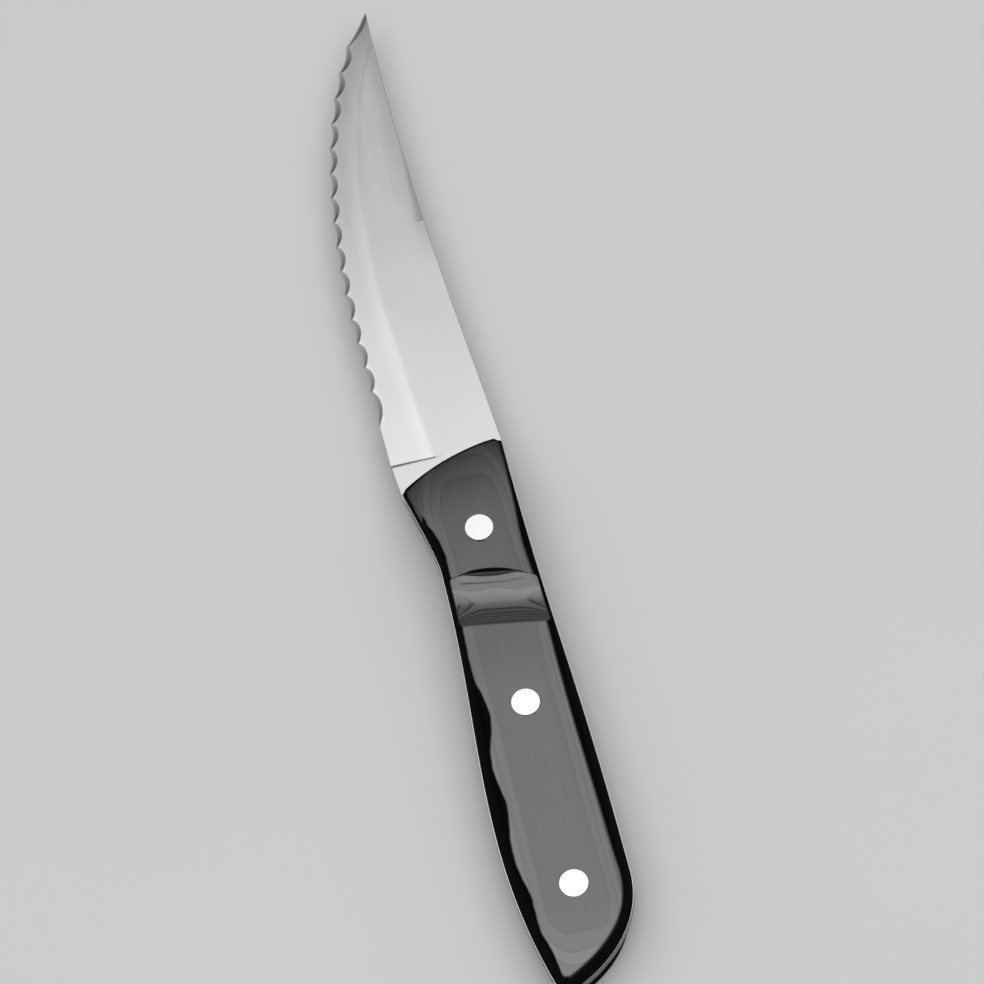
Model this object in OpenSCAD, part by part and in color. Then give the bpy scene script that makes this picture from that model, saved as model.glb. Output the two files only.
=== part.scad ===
// Full-tang steak knife lying on its right side: +X to the point, +Y to the cutting edge.
// Lengths run along the rivet line, from the butt at x = 0, and depths are measured across it.

/* [Blade] */
// Length of the blade from the heel to the point
blade_len = 125.7; // [100:0.1:150]
// Thickness of the steel, blade and tang alike
steel_t = 2.5; // [1.8:0.1:3.5]
// Thickness left at the cutting edge
edge_t = 0.3; // [0.2:0.05:0.6]
// Depth of the heel below the rivet line
heel_y = 14.5; // [12:0.05:17]
// Depth of the cutting edge at its deepest
edge_y = 15.8; // [14:0.1:19]
// Height of the point above the rivet line
point_y = 5.6; // [2:0.1:9]

/* [Grinding] */
// Distance from the heel to the foot of the plunge cut
plunge_x = 7.5; // [4:0.1:12]
// Width of the ground bevel behind the plunge cut
bevel_w = 10.2; // [7:0.1:12]
// Width of the ground bevel at the point
bevel_point_w = 5.8; // [4:0.1:8]
// Width of the softer shoulder strip along the top of the bevel
shoulder_strip_w = 3; // [1.5:0.1:4]
// Distance from the heel to the plunge of the false edge on the spine
swedge_x = 67.1; // [55:0.1:75]
// Length over which the false edge fades out
swedge_len = 21.5; // [10:0.5:30]
// Width of the false edge at its plunge
swedge_w = 2.1; // [1:0.1:3]
// Depth of the false edge at its plunge
swedge_drop = 0.45; // [0.2:0.05:0.8]

/* [Serration] */
// Spacing of the teeth along the knife
tooth_pitch = 6.4; // [4.5:0.1:9]
// Depth of a scallop at the cutting edge
scallop_depth = 0.8; // [0.6:0.05:1.4]
// Angle of a scallop's bevel to the blade's plane
scallop_angle = 24; // [20:1:35]
// Length from the point to the first tooth
first_tooth_x = 8.2; // [6:0.1:12]
// Depth of the long scallop at the point
point_scallop_depth = 0.5; // [0.3:0.05:0.9]
// Plain length of the edge, from the heel to the last scallop
plain_len = 20; // [14:0.1:30]
// Flat left on the tip of each tooth
tooth_flat = 0.25; // [0.1:0.05:0.5]

/* [Handle] */
// Length of the handle from the butt to the heel
handle_len = 124.3; // [110:0.1:140]
// Lead of the handle's spine corner ahead of the heel
nose_lead = 7.4; // [4:0.1:10]
// Height of the handle's back above the rivet line at the nose
nose_y = 10.2; // [9:0.1:12]
// Height of the handle's back at its fullest
back_y = 12.7; // [11:0.1:15]
// Depth of the handle at its waist
waist_y = 10.5; // [9:0.1:12]
// Depth of the handle at its swell
swell_y = 13.5; // [12:0.1:16]
// Depth of the butt's point
butt_y = 8.05; // [6:0.05:10]
// Rounding of the butt's point
butt_round = 2.4; // [0.8:0.1:4]

/* [Scales] */
// Thickness of each scale at its flat land
scale_t = 7.2; // [6:0.1:9]
// Width of the tang left proud of the scales
tang_proud = 0.15; // [0.05:0.05:0.4]
// Fall of the crowned face from the land to the back's shoulder
crown_drop = 0.9; // [0.4:0.1:2]
// Fall of the face towards the nose
nose_drop = 0.9; // [0.4:0.1:1.5]
// Fall of the face towards the butt
butt_drop = 1.4; // [0.4:0.1:1.6]
// Width of the rounded shoulder on the grip
grip_shoulder_w = 3.1; // [2:0.1:4.5]
// Height of the rounded shoulder on the grip
grip_shoulder_h = 3.6; // [1:0.1:6]
// Lean of a scale's sides, from the tang to the shoulder
side_lean = 0.5; // [0:0.1:1]
// Width and height of the eased corner beside the nose
nose_shoulder = 1.2; // [0.3:0.1:1.5]
// Radius of the arched front end
front_r = 55; // [40:1:100]
// Lean of the front end back from the blade
front_lean = 2.2; // [1:0.1:4]

/* [Thumb groove] */
// Distance from the butt to the groove's deepest line
groove_x = 91.2; // [88:0.1:97]
// Depth of the groove
groove_depth = 1.9; // [1:0.1:2.6]
// Length of the ramp from the deepest line to the groove's rear rim
groove_ramp = 6.5; // [4:0.1:9]
// Distance from the deepest line to the groove's front rim
groove_front = 7.6; // [5:0.1:10]
// Height of the step at the front rim
step_h = 1.15; // [0.5:0.05:1.6]
// Length of the step at the front rim
step_run = 0.9; // [0.3:0.1:2]
// Bow of the front rim at the back of the handle
rim_bow = 5.2; // [0:0.1:7]
// Slant of the groove across the handle
groove_skew = 11; // [0:1:15]

/* [Rivets] */
// Distance from the butt to the rear rivet
rivet_rear_x = 21.9; // [18:0.1:26]
// Spacing of the three rivets
rivet_pitch = 43.4; // [38:0.1:46]
// Diameter of a rivet's head
head_d = 6.2; // [5:0.1:7]
// Thickness of a rivet's head
head_t = 2.2; // [1.5:0.1:3]
// Diameter of the sleeve half's barrel
barrel_d = 4; // [3.4:0.1:4.6]
// Diameter of the stud half's pin
pin_d = 2.4; // [1.8:0.1:2.8]
// Depth of a head below the scale's face
head_sink = 0.03; // [0:0.01:0.1]

/* [Hidden] */
$fn = 64;

// Running clearances round the rivets
barrel_gap = 0.05;
head_gap = 0.02;
pin_gap = 0.03;
// Space left between a barrel or a pin and the part that closes over its end
end_gap = 0.5;
// Length by which a cutter passes the material it cuts
overrun = 3;
// Number of straight steps that stand for one curve
curve_steps = 20;

knife_len = handle_len + blade_len;
half_t = steel_t / 2;
half_edge = edge_t / 2;
heel = [handle_len, heel_y];
nose = [handle_len + nose_lead, -nose_y];
point = [knife_len, -point_y];
butt = [0, butt_y];
rivet_xs = [for (i = [0:2]) rivet_rear_x + i * rivet_pitch];

function mix(a, b, share) = a + (b - a) * share;
function smooth(share) = let (s = min(1, max(0, share))) s * s * (3 - 2 * s);
function bezier(p, t) =
    pow(1 - t, 3) * p[0] + 3 * pow(1 - t, 2) * t * p[1] + 3 * (1 - t) * t * t * p[2] + pow(t, 3) * p[3];
function curve(p, steps = curve_steps, first = 0) = [for (i = [first:steps]) bezier(p, i / steps)];
// Place between two corners, as shares of the way along and across
function between(a, b, shares) = [mix(a.x, b.x, shares[0]), mix(a.y, b.y, shares[1])];

// Cutting edge before serration: two straight runs from the heel, then a curve up to the point
plunge_edge_share = 0.962;
edge_bend_shares = [0.264, 0.9886];
edge_curve_shares = [[0.754, 1.156], [0.976, -0.047]];
plunge_edge = [handle_len + plunge_x, edge_y * plunge_edge_share];
edge_bend = [handle_len + blade_len * edge_bend_shares[0], edge_y * edge_bend_shares[1]];
edge_curve = [edge_bend,
    for (s = edge_curve_shares) [handle_len + blade_len * s[0], edge_y * s[1]],
    point];
edge_line = concat([heel, plunge_edge], curve(edge_curve, 2 * curve_steps));

// Spine: one slightly hollow curve from the handle to the point
spine_shares = [[0.277, 0.464], [0.557, 1.332]];
spine_curve = [nose, between(nose, point, spine_shares[0]), between(nose, point, spine_shares[1]), point];
spine_line = curve(spine_curve);

// Belly of the handle: in to a waist behind the heel, out to the swell, and on to the butt's point
waist_share = 0.807;
heel_pull_shares = [0.82, 1.2];
waist_pull_share = 0.83;
swell_pull_shares = [0.63, 0.36, 1.39];
waist = [handle_len * waist_share, waist_y];
belly_front = [heel,
    between(heel, waist, heel_pull_shares),
    between(heel, waist, [waist_pull_share, 1]),
    waist];
belly_rear = [waist,
    [waist.x * swell_pull_shares[0], waist_y],
    [waist.x * swell_pull_shares[1], swell_y * swell_pull_shares[2]],
    butt];
belly_line = concat(curve(belly_front), curve(belly_rear, 2 * curve_steps, 1));

// Back of the handle: nearly straight from the nose, then round a full corner to the butt's point
corner_share = 0.1947;
back_pull_shares = [0.46, 0.507];
corner_pull_shares = [0.757, 0.27, 0.87];
corner = [handle_len * corner_share, -back_y];
back_front = [nose,
    between(nose, corner, [back_pull_shares[0], 0]),
    between(nose, corner, [back_pull_shares[1], 1]),
    corner];
back_rear = [corner,
    [corner.x * corner_pull_shares[0], -back_y],
    [corner.x * corner_pull_shares[1], mix(butt_y, -back_y, corner_pull_shares[2])],
    butt];
back_line = concat(curve(back_front), curve(back_rear, curve_steps, 1));

// Depth of each line at a length x
function edge_at(x) = lookup(x, edge_line);
function belly_at(x) = lookup(x, belly_side);
function back_at(x) = lookup(x, back_side);
function spine_at(x) = lookup(x, spine_line);

// Butt's point, rounded between the belly and the back
arc_shares = [0, 0.17, 0.33, 0.5, 0.67, 0.83, 1];
belly_end = [for (p = belly_line) if (norm(p - butt) > butt_round) p];
back_end = [for (p = back_line) if (norm(p - butt) > butt_round) p];
arc_ends = [belly_end[len(belly_end) - 1], back_end[len(back_end) - 1]];
butt_arc = [for (t = arc_shares)
    pow(1 - t, 2) * arc_ends[0] + 2 * (1 - t) * t * butt + t * t * arc_ends[1]];
rearmost_x = min([for (p = butt_arc) p.x]);

// Both sides of the handle, from the front to the rearmost point of the rounded butt
rearmost_y = lookup(rearmost_x, [for (p = butt_arc) p]);
belly_side = concat(belly_end, [for (i = [1:len(butt_arc) - 1]) if (butt_arc[i].y >= rearmost_y) butt_arc[i]]);
back_side = concat(back_end, [for (i = [len(butt_arc) - 2:-1:1]) if (butt_arc[i].y <= rearmost_y) butt_arc[i]]);

// The finished knife is moved so that its box stands centred on the origin
deepest_y = max([for (p = concat(edge_line, belly_line)) p.y]);
highest_y = min([for (p = concat(spine_line, back_line)) p.y]);
module place() {
    translate([-(knife_len + rearmost_x) / 2, -(deepest_y + highest_y) / 2, half_t + scale_t]) children();
}

// Closed solid through rings that hold the same number of points
module loft(rings) {
    n = len(rings[0]);
    last = len(rings) - 1;
    polyhedron(
        points = [for (ring = rings) each ring],
        faces = concat(
            [[for (j = [0:n - 1]) j]],
            [for (i = [0:last - 1], j = [0:n - 1]) each [
                [i * n + j, (i + 1) * n + j, (i + 1) * n + (j + 1) % n],
                [i * n + j, (i + 1) * n + (j + 1) % n, i * n + (j + 1) % n]]],
            [[for (j = [n - 1:-1:0]) last * n + j]]),
        convexity = 6);
}

// Outline of the steel, once round from the point
module steel_blank() {
    linear_extrude(steel_t, center = true)
        polygon(concat(
            [for (i = [len(edge_line) - 1:-1:1]) edge_line[i]],
            belly_side,
            [for (i = [len(back_side) - 2:-1:1]) back_side[i]],
            [for (i = [0:len(spine_line) - 2]) spine_line[i]]));
}

// Waste ground off one face: a strip that follows the edge from the plunge cut past the point.
// Across the strip the bevel rises steeply from the edge and more gently under the shoulder strip.
plunge_run_share = 0.75;
shoulder_slope_share = 0.5;
grind_steps = 18;
module grind_waste() {
    start_x = handle_len + plunge_x;
    past_point = point + overrun * (point - edge_curve[2]) / norm(point - edge_curve[2]);
    track = [for (i = [0:grind_steps]) let (x = mix(start_x, knife_len, i / grind_steps)) [x, edge_at(x)],
        past_point];
    rings = [for (i = [0:len(track) - 1]) let (
            share = i / (len(track) - 1),
            ahead = track[min(i + 1, len(track) - 1)] - track[max(i - 1, 0)],
            along = i == 0 ? [1, 0] : ahead / norm(ahead),
            inward = [along.y, -along.x],
            w = mix(bevel_w, bevel_point_w, share),
            slope = (half_t - half_edge) / (w - shoulder_strip_w * (1 - shoulder_slope_share)),
            rise = slope * (w - shoulder_strip_w),
            profile = [
                [-overrun, half_t + overrun],
                [w + overrun, half_t + overrun],
                [w + overrun, half_t + overrun * slope * shoulder_slope_share],
                [w - shoulder_strip_w, half_edge + rise],
                [-overrun, half_edge - overrun * slope]])
        [for (p = profile) let (
                q = track[i] + p[0] * inward,
                lead = i == 0 ? (half_t - p[1]) * plunge_run_share : 0)
            [q.x + lead, q.y, p[1]]]];
    loft(rings);
}

// Waste ground off one face for the false edge: a wedge under one flat cut, fading out along the spine
swedge_end_share = 0.15;
module swedge_waste() {
    start_x = handle_len + swedge_x;
    fade_x = start_x + swedge_len;
    inner = [start_x, spine_at(start_x) + swedge_w, half_t];
    outer = [start_x, spine_at(start_x), half_t - swedge_drop];
    fade = [fade_x, spine_at(fade_x), half_t];
    a = inner + (inner - outer) * swedge_end_share;
    b = outer + (outer - inner);
    c = fade + (fade - inner) * swedge_end_share;
    top = half_t + overrun;
    loft([[a, b, c], [for (p = [a, b, c]) [p.x, p.y, top]]]);
}

// Tips of the teeth, from the point back to the start of the plain edge
serrated_len = blade_len - first_tooth_x - plain_len;
tooth_count = floor(serrated_len / tooth_pitch);
tooth_xs = concat(
    [knife_len],
    [for (i = [0:tooth_count - 1]) knife_len - first_tooth_x - i * tooth_pitch],
    [handle_len + plain_len]);
teeth = [for (x = tooth_xs) [x, edge_at(x)]];

// One scallop: a wheel whose axis lies over the blade, tilted down towards the edge
module scallop_waste(front, rear, depth) {
    chord = norm(rear - front) - tooth_flat;
    sagitta = depth * sin(scallop_angle);
    wheel_r = (pow(chord / 2, 2) + sagitta * sagitta) / (2 * sagitta);
    middle = (front + rear) / 2;
    heading = atan2(front.y - rear.y, front.x - rear.x);
    translate([middle.x, middle.y, -half_edge])
        rotate([0, 0, heading])
            translate([0, -depth, 0])
                rotate([-scallop_angle, 0, 0])
                    translate([0, 0, wheel_r])
                        rotate([90, 0, 0])
                            cylinder(h = 4 * overrun, r = wheel_r, center = true, $fn = 180);
}

module blade() {
    color("gainsboro") place() difference() {
        steel_blank();
        grind_waste();
        mirror([0, 0, 1]) grind_waste();
        swedge_waste();
        mirror([0, 0, 1]) swedge_waste();
        for (i = [0:len(teeth) - 2])
            scallop_waste(teeth[i], teeth[i + 1], i == 0 ? point_scallop_depth : scallop_depth);
        for (x = rivet_xs)
            translate([x, 0, 0])
                cylinder(h = steel_t + overrun, d = barrel_d + 2 * barrel_gap, center = true);
    }
}

// Shoulders of a scale: eased beside the nose, full on the grip. The belly side fills out further forward.
belly_ease_shares = [0.4, 0.95];
back_ease_shares = [0.5, 0.82];
function grip_share(x, shares) = 1 - smooth((x / handle_len - shares[0]) / (shares[1] - shares[0]));
function shoulder_w(x, shares) = mix(nose_shoulder, grip_shoulder_w, grip_share(x, shares));
function shoulder_h(x, shares) = mix(nose_shoulder, grip_shoulder_h, grip_share(x, shares));

// Fall of the face beyond the front and rear rivets
head_margin = 1;
fall_front_x = rivet_xs[2] + head_d / 2 + head_margin;
fall_rear_x = rivet_xs[0] - head_d / 2 - head_margin;
function end_fall(x) =
    nose_drop * pow(max(0, (x - fall_front_x) / (nose.x - fall_front_x)), 2)
    + butt_drop * pow(max(0, (fall_rear_x - x) / fall_rear_x), 2);

// Half-profile of the rounded shoulder: shares of its width at which the loft has a line
round_shares = [0, 0.04, 0.12, 0.3, 0.6, 1];
shoulder_limit_share = 0.42;
lean_limit_share = 0.06;
// Shares of the face's width between which the loft has a level line
land_shares = [0.32, 0.68];
// Level land along the rivets, and the run of the crown from there to the back's shoulder
land_margin = 0.3;
land_half = head_d / 2 + land_margin;
crown_run = back_y - land_half - grip_shoulder_w;
// Crown on the belly side, as a share of the crown on the back
belly_crown_share = 0.6;
function crown_fall(y) = let (
        u0 = max(0, y - land_half) / crown_run,
        u1 = max(0, -y - land_half) / crown_run)
    crown_drop * (belly_crown_share * u0 * u0 + u1 * u1);
// Steepness of a line at a length x, as the factor by which a cut across the knife is longer
probe_len = 1;
function steepness(x, line) =
    let (d = [probe_len, lookup(x + probe_len / 2, line) - lookup(x - probe_len / 2, line)])
    norm(d) / probe_len;

// Height that a rounded shoulder takes off at an inset from its side
function rounding(inset, w, h) = let (t = min(1, max(0, inset / w))) h * (1 - sqrt(1 - pow(1 - t, 2)));

// Ring of a scale at length x, from its belly corner over the crowned face to its back corner
function scale_ring(x) = let (
        belly_f = steepness(x, belly_side),
        back_f = steepness(x, back_side),
        foot0 = belly_at(x) - tang_proud * belly_f,
        foot1 = back_at(x) + tang_proud * back_f,
        y0 = foot0 - min(side_lean * belly_f, (foot0 - foot1) * lean_limit_share),
        y1 = foot1 + min(side_lean * back_f, (foot0 - foot1) * lean_limit_share),
        w0 = shoulder_w(x, belly_ease_shares) - side_lean,
        w1 = shoulder_w(x, back_ease_shares) - side_lean,
        h0 = shoulder_h(x, belly_ease_shares),
        h1 = shoulder_h(x, back_ease_shares),
        in0 = y0 - min(w0 * belly_f, (y0 - y1) * shoulder_limit_share),
        in1 = y1 + min(w1 * back_f, (y0 - y1) * shoulder_limit_share),
        land0 = mix(in1, in0, land_shares[1]),
        land1 = mix(in1, in0, land_shares[0]),
        ys = concat(
            [for (s = round_shares) mix(y0, in0, s)],
            [(in0 + land0) / 2, land0, land1, (in1 + land1) / 2],
            [for (i = [len(round_shares) - 1:-1:0]) mix(y1, in1, round_shares[i])]))
    concat(
        [[x, foot0, 0]],
        [for (y = ys)
            [x, y, scale_t - crown_fall(y) - end_fall(x)
                - rounding((y0 - y) / belly_f, w0, h0) - rounding((y - y1) / back_f, w1, h1)]],
        [[x, foot1, 0]]);

// Stations of the loft, closest together round the butt
scale_stations = 48;
station_power = 1.5;
module scale_body() {
    first = rearmost_x + tang_proud;
    last = nose.x + overrun / 2;
    loft([for (i = [0:scale_stations])
        scale_ring(mix(first, last, pow(i / scale_stations, station_power)))]);
}

// Everything ahead of the arched and leaning front end, which runs from the heel to the nose
module front_waste() {
    chord = nose - heel;
    across = chord / norm(chord);
    centre = (heel + nose) / 2
        + [across.y, -across.x] * sqrt(front_r * front_r - pow(norm(chord) / 2, 2));
    depth = handle_len / 4;
    width = 2 * (swell_y + back_y);
    difference() {
        translate([handle_len - depth / 2, -width / 2, -overrun])
            cube([depth, width, scale_t + 2 * overrun]);
        translate([centre.x, centre.y, -2 * overrun])
            cylinder(h = scale_t + 4 * overrun,
                r1 = front_r + front_lean * 2 * overrun / scale_t,
                r2 = front_r - front_lean * (scale_t + 2 * overrun) / scale_t, $fn = 240);
    }
}

// Waste of the thumb groove, which follows the crown: profiles across the handle, each a bowed step down
// from the front rim, a shallow fall to the slanted deepest line, and a steeper ramp up to the rear rim
// and past it. The step is highest near the middle and runs out to both sides.
floor_shares = [1, 0.75, 0.5, 0.25, 0];
ramp_shares = [0.17, 0.33, 0.5, 0.67, 0.83, 1, 1.2];
rim_middle_share = 0.52;
step_middle_share = 0.29;
step_fade_share = 3.6;
least_step_share = 0.15;
groove_steps = 20;
module groove_waste() {
    first_y = -back_y - overrun / 2;
    last_y = swell_y + overrun / 2;
    rim_middle = waist_y * rim_middle_share;
    step_middle = waist_y * step_middle_share;
    loft([for (i = [0:groove_steps]) let (
            y = mix(first_y, last_y, i / groove_steps),
            low_x = groove_x + y * tan(groove_skew),
            aside = pow((y - rim_middle) / (nose_y + rim_middle), 2),
            off_step = pow((y - step_middle) / (nose_y + step_middle), 2),
            share = max(least_step_share, 1 - step_fade_share * off_step),
            rim_x = groove_x + groove_front - rim_bow * aside,
            foot_x = rim_x - step_run * share,
            foot_h = step_h * share,
            face = scale_t - crown_fall(y))
        concat(
            [[rim_x + step_run * overrun / step_h, y, face + overrun]],
            [for (s = floor_shares)
                [mix(low_x, foot_x, s), y, face - groove_depth + (groove_depth - foot_h) * s * s]],
            [for (s = ramp_shares) [low_x - groove_ramp * s, y, face - groove_depth * (1 - s * s)]],
            [[low_x - groove_ramp * ramp_shares[6], y, face + overrun]])]);
}

module scale_half() {
    translate([0, 0, half_t]) difference() {
        scale_body();
        front_waste();
        groove_waste();
        for (x = rivet_xs) translate([x, 0, 0]) {
            translate([0, 0, -overrun]) cylinder(h = scale_t + 2 * overrun, d = barrel_d + 2 * barrel_gap);
            translate([0, 0, scale_t - head_t - head_sink]) cylinder(h = head_t + overrun, d = head_d + 2 * head_gap);
        }
    }
}

module left_scale() {
    color([0.16, 0.16, 0.17]) place() scale_half();
}

module right_scale() {
    color([0.16, 0.16, 0.17]) place() mirror([0, 0, 1]) scale_half();
}

// Each rivet is two halves pressed into each other: a sleeve from the right and a stud from the left
head_z = half_t + scale_t - head_sink;
module rivet_sleeve(x) {
    barrel_len = 2 * head_z - head_t - end_gap;
    color("silver") place() translate([x, 0, -head_z]) difference() {
        union() {
            cylinder(h = head_t, d = head_d);
            cylinder(h = barrel_len - head_t / 2, d = barrel_d);
        }
        translate([0, 0, head_t]) cylinder(h = barrel_len, d = pin_d + 2 * pin_gap);
    }
}

module rivet_stud(x) {
    pin_len = 2 * head_z - head_t - end_gap;
    color("silver") place() translate([x, 0, head_z]) mirror([0, 0, 1]) union() {
        cylinder(h = head_t, d = head_d);
        cylinder(h = pin_len, d = pin_d);
    }
}

blade();
left_scale();
right_scale();
rivet_sleeve(rivet_xs[2]);  // front_rivet_sleeve
rivet_stud(rivet_xs[2]);  // front_rivet_stud
rivet_sleeve(rivet_xs[1]);  // middle_rivet_sleeve
rivet_stud(rivet_xs[1]);  // middle_rivet_stud
rivet_sleeve(rivet_xs[0]);  // rear_rivet_sleeve
rivet_stud(rivet_xs[0]);  // rear_rivet_stud
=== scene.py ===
"""Full-tang steak knife on its right side, with ground, scalloped steel and a laminated handle."""
import math

import bmesh
import bpy
import numpy as np
from mathutils import Matrix, Vector


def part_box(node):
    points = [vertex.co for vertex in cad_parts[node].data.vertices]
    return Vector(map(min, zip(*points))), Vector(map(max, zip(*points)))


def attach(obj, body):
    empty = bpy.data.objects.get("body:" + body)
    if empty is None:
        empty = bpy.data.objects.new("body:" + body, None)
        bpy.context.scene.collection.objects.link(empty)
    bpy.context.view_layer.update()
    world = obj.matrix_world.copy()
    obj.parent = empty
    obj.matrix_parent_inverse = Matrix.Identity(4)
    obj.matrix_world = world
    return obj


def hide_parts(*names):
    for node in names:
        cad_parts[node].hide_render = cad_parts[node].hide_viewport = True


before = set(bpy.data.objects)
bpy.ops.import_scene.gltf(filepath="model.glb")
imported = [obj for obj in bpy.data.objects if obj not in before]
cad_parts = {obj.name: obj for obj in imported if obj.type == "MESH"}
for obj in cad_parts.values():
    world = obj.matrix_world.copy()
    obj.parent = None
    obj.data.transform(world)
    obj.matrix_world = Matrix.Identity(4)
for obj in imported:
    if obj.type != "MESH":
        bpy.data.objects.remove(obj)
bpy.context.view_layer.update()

mm = 0.001

# Blade and tang: one plate of hardened stainless steel, blanked to outline and ground on both
# faces. A wheel then scallops the edge from the left face only, and a short false edge is taken off
# the spine. The tang fills the whole outline of the handle and is pinned by the three rivets.
blade_len = 125.7 * mm
handle_len = 124.3 * mm
knife_len = handle_len + blade_len
half_t = 1.25 * mm
half_edge = 0.15 * mm
edge_y = 15.8 * mm
waist_y = 10.5 * mm
swell_y = 13.5 * mm
back_y = 12.7 * mm
heel = np.array([handle_len, 14.5 * mm])
nose = np.array([handle_len + 7.4 * mm, -10.2 * mm])
point = np.array([knife_len, -5.6 * mm])
butt = np.array([0, 8.05 * mm])
butt_round = 3.2 * mm
plunge_x = handle_len + 7.5 * mm
plunge_y = 0.962 * edge_y
waist = np.array([0.807 * handle_len, waist_y])
corner = np.array([0.1947 * handle_len, -back_y])

# Pulls of the outline's curves: each is a share of the way along, then a share of the way across
# or, behind the waist and the corner, the place across.
edge_pulls = [(0.264, 0.9886), (0.754, 1.156), (0.976, -0.047)]
spine_pulls = [(0.277, 0.464), (0.557, 1.332)]
front_belly_pulls = [(0.82, 1.2), (0.83, 1)]
front_back_pulls = [(0.46, 0), (0.507, 1)]
rear_belly_pulls = [(0.63, waist_y), (0.36, 1.39 * swell_y)]
rear_back_pulls = [(0.757, -back_y), (0.27, butt[1] + (-back_y - butt[1]) * 0.87)]


def bezier(*corners, steps=240):
    """Points of the curve (1-t)^3 a + 3 (1-t)^2 t b + 3 (1-t) t^2 c + t^3 d, evenly in t."""
    a, b, c, d = (np.asarray(corner, float) for corner in corners)
    t = np.linspace(0, 1, steps)[:, None]
    return (1 - t) ** 3 * a + 3 * (1 - t) ** 2 * t * b + 3 * (1 - t) * t * t * c + t ** 3 * d


def between(a, b, along, across):
    """Place between two corners, as shares of the way along x and of the way across y."""
    return np.array([a[0] + (b[0] - a[0]) * along, a[1] + (b[1] - a[1]) * across])


edge_line = np.vstack([heel, [plunge_x, plunge_y], bezier(
    *[[handle_len + along * blade_len, across * edge_y] for along, across in edge_pulls],
    point, steps=600)])
spine_line = bezier(nose, *[between(nose, point, *pull) for pull in spine_pulls], point)
belly_line = np.vstack([
    bezier(heel, *[between(heel, waist, *pull) for pull in front_belly_pulls], waist),
    bezier(waist, *[[along * waist[0], y] for along, y in rear_belly_pulls], butt)[1:]])
back_line = np.vstack([
    bezier(nose, *[between(nose, corner, *pull) for pull in front_back_pulls], corner),
    bezier(corner, *[[along * corner[0], y] for along, y in rear_back_pulls], butt)[1:]])


def rounded_handle(belly, back, radius):
    """Cuts the belly and back lines short of the butt's point and joins them with a round arc,
    then splits the arc at its rearmost place, so that each line runs from front to rear."""
    belly = belly[np.hypot(*(belly - belly[-1]).T) > radius]
    back = back[np.hypot(*(back - back[-1]).T) > radius]
    t = np.linspace(0, 1, 61)[:, None]
    arc = (1 - t) ** 2 * belly[-1] + 2 * (1 - t) * t * butt + t * t * back[-1]
    rear = int(np.argmin(arc[:, 0]))
    return np.vstack([belly, arc[1:rear + 1]]), np.vstack([back, arc[-2:rear - 1:-1]])


def inset_line(line, distance, side):
    """The line moved by a distance to its left (side 1) or right (side -1), square to itself."""
    step = np.gradient(line, axis=0)
    step /= np.hypot(*step.T)[:, None]
    return line + distance * side * np.stack([-step[:, 1], step[:, 0]], 1)


def height_on(line):
    """Function that looks up y on a line whose x only grows or only shrinks."""
    order = np.argsort(line[:, 0])
    return lambda x: np.interp(x, line[order, 0], line[order, 1])


belly_side, back_side = rounded_handle(belly_line, back_line, butt_round)
upper_y = height_on(np.vstack([belly_side[::-1], edge_line[1:]]))
lower_y = height_on(np.vstack([back_side[::-1], spine_line[1:]]))
edge_at = height_on(edge_line)
edge_slope = height_on(np.stack([
    edge_line[:, 0], np.gradient(edge_line[:, 1], edge_line[:, 0])], 1))

wall_run = 0.75
bevel_w = 10.2 * mm
bevel_point_w = 5.8 * mm
ridge_wave = 0.10 * mm
ridge_wave_run = 4.1 * mm
strip_w = 3.0 * mm


def smooth(share):
    """Cubic step from 0 to 1."""
    share = np.clip(share, 0, 1)
    return share * share * (3 - 2 * share)


def bevel_width(x):
    """Width of the ground bevel, which narrows towards the point. Its ridge waves a little."""
    share = np.clip((x - plunge_x) / (knife_len - plunge_x), 0, 1)
    wave = ridge_wave * np.sin(x / ridge_wave_run)
    return bevel_w + (bevel_point_w - bevel_w) * share + wave


def grinding(x, y):
    """Fall of the ground face, fall of the plunge wall, and distance of a place into the bevel.
    From the ridge the face falls at half the bevel's slope and steepens evenly across the shoulder
    strip, then falls straight to the edge. The wall falls 4 parts in 3 forwards."""
    inset = (edge_at(x) - y) * np.cos(np.arctan(edge_slope(x)))
    width = bevel_width(x)
    slope = (half_t - half_edge) / (width - strip_w / 4)
    e = np.maximum(width - inset, 0)
    fall = slope * np.where(e < strip_w, e / 2 + e * e / (4 * strip_w), e - strip_w / 4)
    return fall, np.maximum(x - plunge_x, 0) / wall_run, e


def ground(x, y):
    """Height of a ground face over the middle plane. Behind the plunge wall the steel is full."""
    fall, wall, _ = grinding(x, y)
    return half_t - np.minimum(fall, wall)


swedge_x = handle_len + 67.1 * mm
swedge_len = 21.5 * mm
swedge_w = 2.1 * mm
swedge_drop = 0.45 * mm


def swedge(x, y):
    """Fall of the flat cut on the spine, which runs out forwards, and fall of its plunge wall."""
    along = (x - swedge_x) / swedge_len
    across = (y - lower_y(x)) / swedge_w
    return swedge_drop * np.maximum(0, 1 - along - across), np.maximum(x - swedge_x, 0) / wall_run


def false_edge(x, y):
    """Height of a face beside the spine: half the plate, less the smaller of the two falls."""
    return half_t - np.minimum(*swedge(x, y))


tooth_pitch = 6.4 * mm
first_tooth = 8.2 * mm
plain_len = 20 * mm
tooth_flat = 0.25 * mm
last_tooth_x = handle_len + plain_len
tooth_x = np.concatenate([
    [knife_len],
    np.arange(knife_len - first_tooth, last_tooth_x + tooth_pitch - 0.1 * mm, -tooth_pitch),
    [last_tooth_x]])
teeth = np.stack([tooth_x, edge_at(tooth_x)], 1)
at_point = np.arange(len(teeth) - 1) == 0
scallop_depths = np.where(at_point, 0.5 * mm, 0.8 * mm)
scallop_tilts = np.radians(np.where(at_point, 32, 28))


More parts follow.
